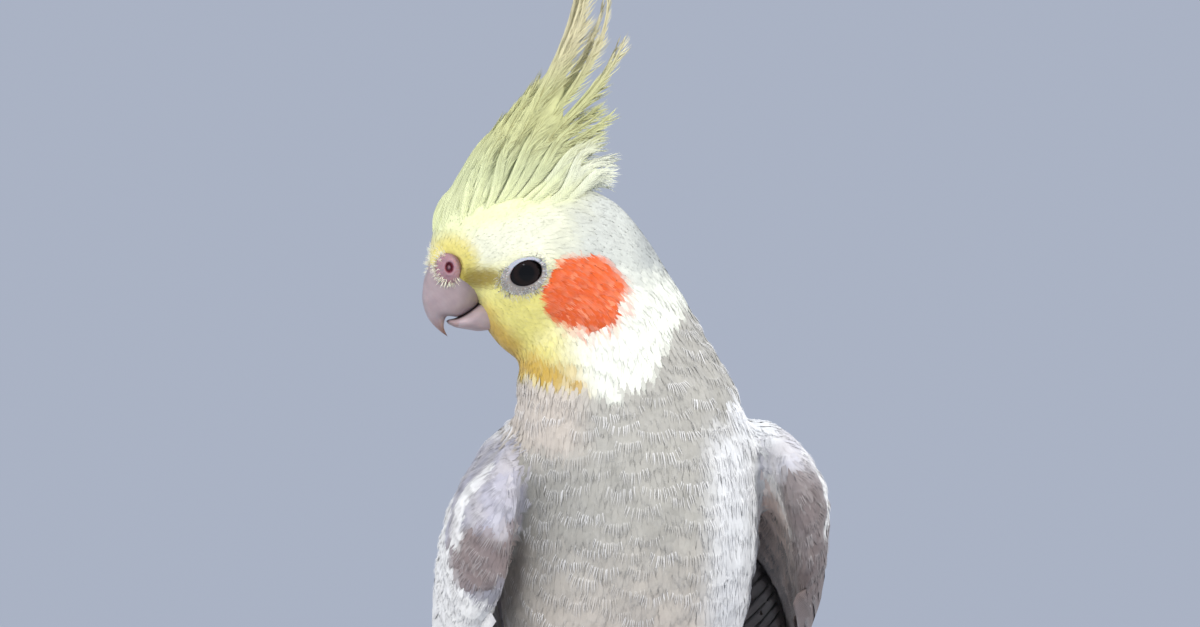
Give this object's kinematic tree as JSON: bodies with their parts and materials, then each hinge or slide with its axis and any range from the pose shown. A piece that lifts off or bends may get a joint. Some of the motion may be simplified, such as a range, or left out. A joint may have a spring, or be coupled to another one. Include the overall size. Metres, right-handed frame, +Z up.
{
  "type": "cockatiel",
  "caption": "Life-size still model of a male cockatiel standing upright, crest raised, head turned to its right.",
  "frame": {"origin": "middle of the bird's footprint on the floor it stands on", "axes": "+Z up, the bird faces -Y, its left side is +X"},
  "size_m": [0.0916, 0.213, 0.1776],
  "materials": {
    "face_plumage": "soft yellow face and crest feathers",
    "body_plumage": "soft pale warm grey body feathers",
    "wing_plumage": "grey-brown wing feathers with a white patch",
    "tail_plumage": "smooth dark grey tail feathers",
    "bill_horn": "pinkish grey horn, satin",
    "claw_horn": "dark horn, satin",
    "foot_skin": "scaly pinkish grey skin",
    "eye": "wet, near-black brown"
  },
  "bodies": {
    "root": {"head": "face_plumage", "neck": "body_plumage", "torso": "body_plumage", "tail": "tail_plumage", "wing_left": "wing_plumage", "wing_right": "wing_plumage", "thigh_left": "body_plumage", "thigh_right": "body_plumage", "foot_left": "foot_skin", "foot_right": "foot_skin", "eye_left": "eye", "eye_right": "eye", "bill_upper": "bill_horn", "bill_lower": "bill_horn", "claw_left_inner_front": "claw_horn", "claw_left_outer_front": "claw_horn", "claw_left_inner_back": "claw_horn", "claw_left_outer_back": "claw_horn", "claw_right_inner_front": "claw_horn", "claw_right_outer_front": "claw_horn", "claw_right_inner_back": "claw_horn", "claw_right_outer_back": "claw_horn"}
  },
  "joints": []
}
